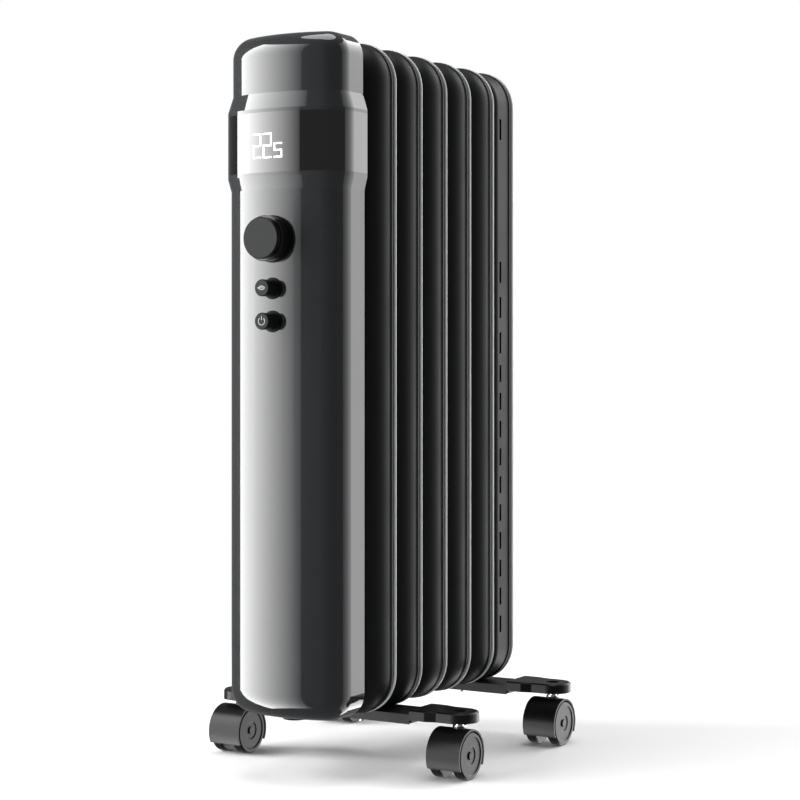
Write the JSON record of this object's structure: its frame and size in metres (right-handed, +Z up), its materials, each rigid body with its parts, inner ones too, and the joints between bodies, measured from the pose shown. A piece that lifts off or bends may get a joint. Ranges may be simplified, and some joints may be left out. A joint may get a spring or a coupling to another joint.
{
  "type": "oil filled radiator heater",
  "caption": "Oil-filled radiator with hollow pressed-steel elements, a control tower with knob, buttons and display, and a steel foot bar with twin-wheel casters at each end.",
  "frame": {"origin": "on the floor, under the middle of the bounding box", "axes": "+Z up, -Y towards the control tower, +X to the right-hand side of a person who faces the tower"},
  "size_m": [0.264, 0.3366, 0.64],
  "materials": {
    "element_paint": "semi-gloss powder coat, dark grey",
    "casing_paint": "glossy metallic grey moulding",
    "band_gloss": "piano-black acrylic",
    "digit_light": "lit white segments",
    "control_black": "fine satin black",
    "bezel_black": "black",
    "foot_black": "moulded black nylon",
    "bar_paint": "black powder coat",
    "wheel_black": "moulded black nylon",
    "zinc_steel": "bright zinc plated",
    "stem_chrome": "chromed steel",
    "shield_steel": "galvanised sheet",
    "header_steel": "powder coat",
    "heater_brass": "machined",
    "heater_sheath": "drawn steel sheath",
    "gasket_rubber": "silicone",
    "board_green": "glass-epoxy laminate",
    "device_plastic": "moulded",
    "encoder_steel": "stamped"
  },
  "bodies": {
    "heater": {"fin_1": "element_paint", "fin_2": "element_paint", "fin_3": "element_paint", "fin_4": "element_paint", "fin_5": "element_paint", "fin_6": "element_paint", "header_collars": "header_steel", "filler_plug": "zinc_steel", "heater_gasket": "gasket_rubber", "heater_flange": "heater_brass", "heating_rods": "heater_sheath", "lower_casing": "casing_paint", "display_band": "band_gloss", "top_cap": "casing_paint", "heat_shield": "shield_steel", "casing_screws": "zinc_steel", "spacer_bushes": "zinc_steel", "tower_bolts": "zinc_steel", "rotary_encoder": "encoder_steel", "control_bezels": "bezel_black", "push_switches": "device_plastic", "display_digits": "digit_light", "control_board": "board_green", "display_module": "device_plastic", "power_board": "board_green", "thermal_cutout": "device_plastic", "tip_over_switch": "device_plastic", "cord_gland": "control_black", "foot_bars": "bar_paint", "foot_ubolts": "zinc_steel", "wing_nuts": "zinc_steel", "front_left_foot_tip": "foot_black", "front_right_foot_tip": "foot_black", "rear_left_foot_tip": "foot_black", "rear_right_foot_tip": "foot_black"},
    "knob": {"mode_knob": "control_black", "encoder_shaft": "encoder_steel"},
    "knob_plunger": {"knob_plunger": "device_plastic"},
    "eco_button": {"eco_button": "control_black"},
    "power_button": {"power_button": "control_black"},
    "front_left_caster_swivel": {"front_left_caster_hood": "wheel_black", "front_left_caster_stem": "stem_chrome", "front_left_caster_axle": "zinc_steel"},
    "front_left_caster_right_wheel": {"front_left_caster_right_wheel": "wheel_black"},
    "front_left_caster_left_wheel": {"front_left_caster_left_wheel": "wheel_black"},
    "front_right_caster_swivel": {"front_right_caster_hood": "wheel_black", "front_right_caster_stem": "stem_chrome", "front_right_caster_axle": "zinc_steel"},
    "front_right_caster_right_wheel": {"front_right_caster_right_wheel": "wheel_black"},
    "front_right_caster_left_wheel": {"front_right_caster_left_wheel": "wheel_black"},
    "rear_left_caster_swivel": {"rear_left_caster_hood": "wheel_black", "rear_left_caster_stem": "stem_chrome", "rear_left_caster_axle": "zinc_steel"},
    "rear_left_caster_right_wheel": {"rear_left_caster_right_wheel": "wheel_black"},
    "rear_left_caster_left_wheel": {"rear_left_caster_left_wheel": "wheel_black"},
    "rear_right_caster_swivel": {"rear_right_caster_hood": "wheel_black", "rear_right_caster_stem": "stem_chrome", "rear_right_caster_axle": "zinc_steel"},
    "rear_right_caster_right_wheel": {"rear_right_caster_right_wheel": "wheel_black"},
    "rear_right_caster_left_wheel": {"rear_right_caster_left_wheel": "wheel_black"}
  },
  "joints": [
    {"name": "knob_push", "type": "slide", "parent": "heater", "child": "knob_plunger", "axis": [0, 1, 0], "range_m": [0, 0.0008], "stiffness_N_per_m": 3000, "springref_m": -0.0004},
    {"name": "knob_turn", "type": "hinge", "parent": "knob_plunger", "child": "knob", "pos_m": [0, -0.1328, 0.4635], "axis": [0, -1, 0], "continuous": true},
    {"name": "eco_push", "type": "slide", "parent": "heater", "child": "eco_button", "axis": [0, 1, 0], "range_m": [0, 0.0015], "stiffness_N_per_m": 1000, "springref_m": -0.0005},
    {"name": "power_push", "type": "slide", "parent": "heater", "child": "power_button", "axis": [0, 1, 0], "range_m": [0, 0.0015], "stiffness_N_per_m": 1000, "springref_m": -0.0005},
    {"name": "front_left_caster_swivel", "type": "hinge", "parent": "heater", "child": "front_left_caster_swivel", "pos_m": [-0.115, -0.0317, 0.05], "axis": [0, 0, 1], "continuous": true},
    {"name": "front_left_caster_right_spin", "type": "hinge", "parent": "front_left_caster_swivel", "child": "front_left_caster_right_wheel", "pos_m": [-0.115, -0.0392, 0.0205], "axis": [1, 0, 0], "continuous": true},
    {"name": "front_left_caster_left_spin", "type": "hinge", "parent": "front_left_caster_swivel", "child": "front_left_caster_left_wheel", "pos_m": [-0.115, -0.0392, 0.0205], "axis": [1, 0, 0], "continuous": true},
    {"name": "front_right_caster_swivel", "type": "hinge", "parent": "heater", "child": "front_right_caster_swivel", "pos_m": [0.115, -0.0317, 0.05], "axis": [0, 0, 1], "continuous": true},
    {"name": "front_right_caster_right_spin", "type": "hinge", "parent": "front_right_caster_swivel", "child": "front_right_caster_right_wheel", "pos_m": [0.115, -0.0392, 0.0205], "axis": [1, 0, 0], "continuous": true},
    {"name": "front_right_caster_left_spin", "type": "hinge", "parent": "front_right_caster_swivel", "child": "front_right_caster_left_wheel", "pos_m": [0.115, -0.0392, 0.0205], "axis": [1, 0, 0], "continuous": true},
    {"name": "rear_left_caster_swivel", "type": "hinge", "parent": "heater", "child": "rear_left_caster_swivel", "pos_m": [-0.115, 0.1483, 0.05], "axis": [0, 0, 1], "continuous": true},
    {"name": "rear_left_caster_right_spin", "type": "hinge", "parent": "rear_left_caster_swivel", "child": "rear_left_caster_right_wheel", "pos_m": [-0.115, 0.1408, 0.0205], "axis": [1, 0, 0], "continuous": true},
    {"name": "rear_left_caster_left_spin", "type": "hinge", "parent": "rear_left_caster_swivel", "child": "rear_left_caster_left_wheel", "pos_m": [-0.115, 0.1408, 0.0205], "axis": [1, 0, 0], "continuous": true},
    {"name": "rear_right_caster_swivel", "type": "hinge", "parent": "heater", "child": "rear_right_caster_swivel", "pos_m": [0.115, 0.1483, 0.05], "axis": [0, 0, 1], "continuous": true},
    {"name": "rear_right_caster_right_spin", "type": "hinge", "parent": "rear_right_caster_swivel", "child": "rear_right_caster_right_wheel", "pos_m": [0.115, 0.1408, 0.0205], "axis": [1, 0, 0], "continuous": true},
    {"name": "rear_right_caster_left_spin", "type": "hinge", "parent": "rear_right_caster_swivel", "child": "rear_right_caster_left_wheel", "pos_m": [0.115, 0.1408, 0.0205], "axis": [1, 0, 0], "continuous": true}
  ]
}
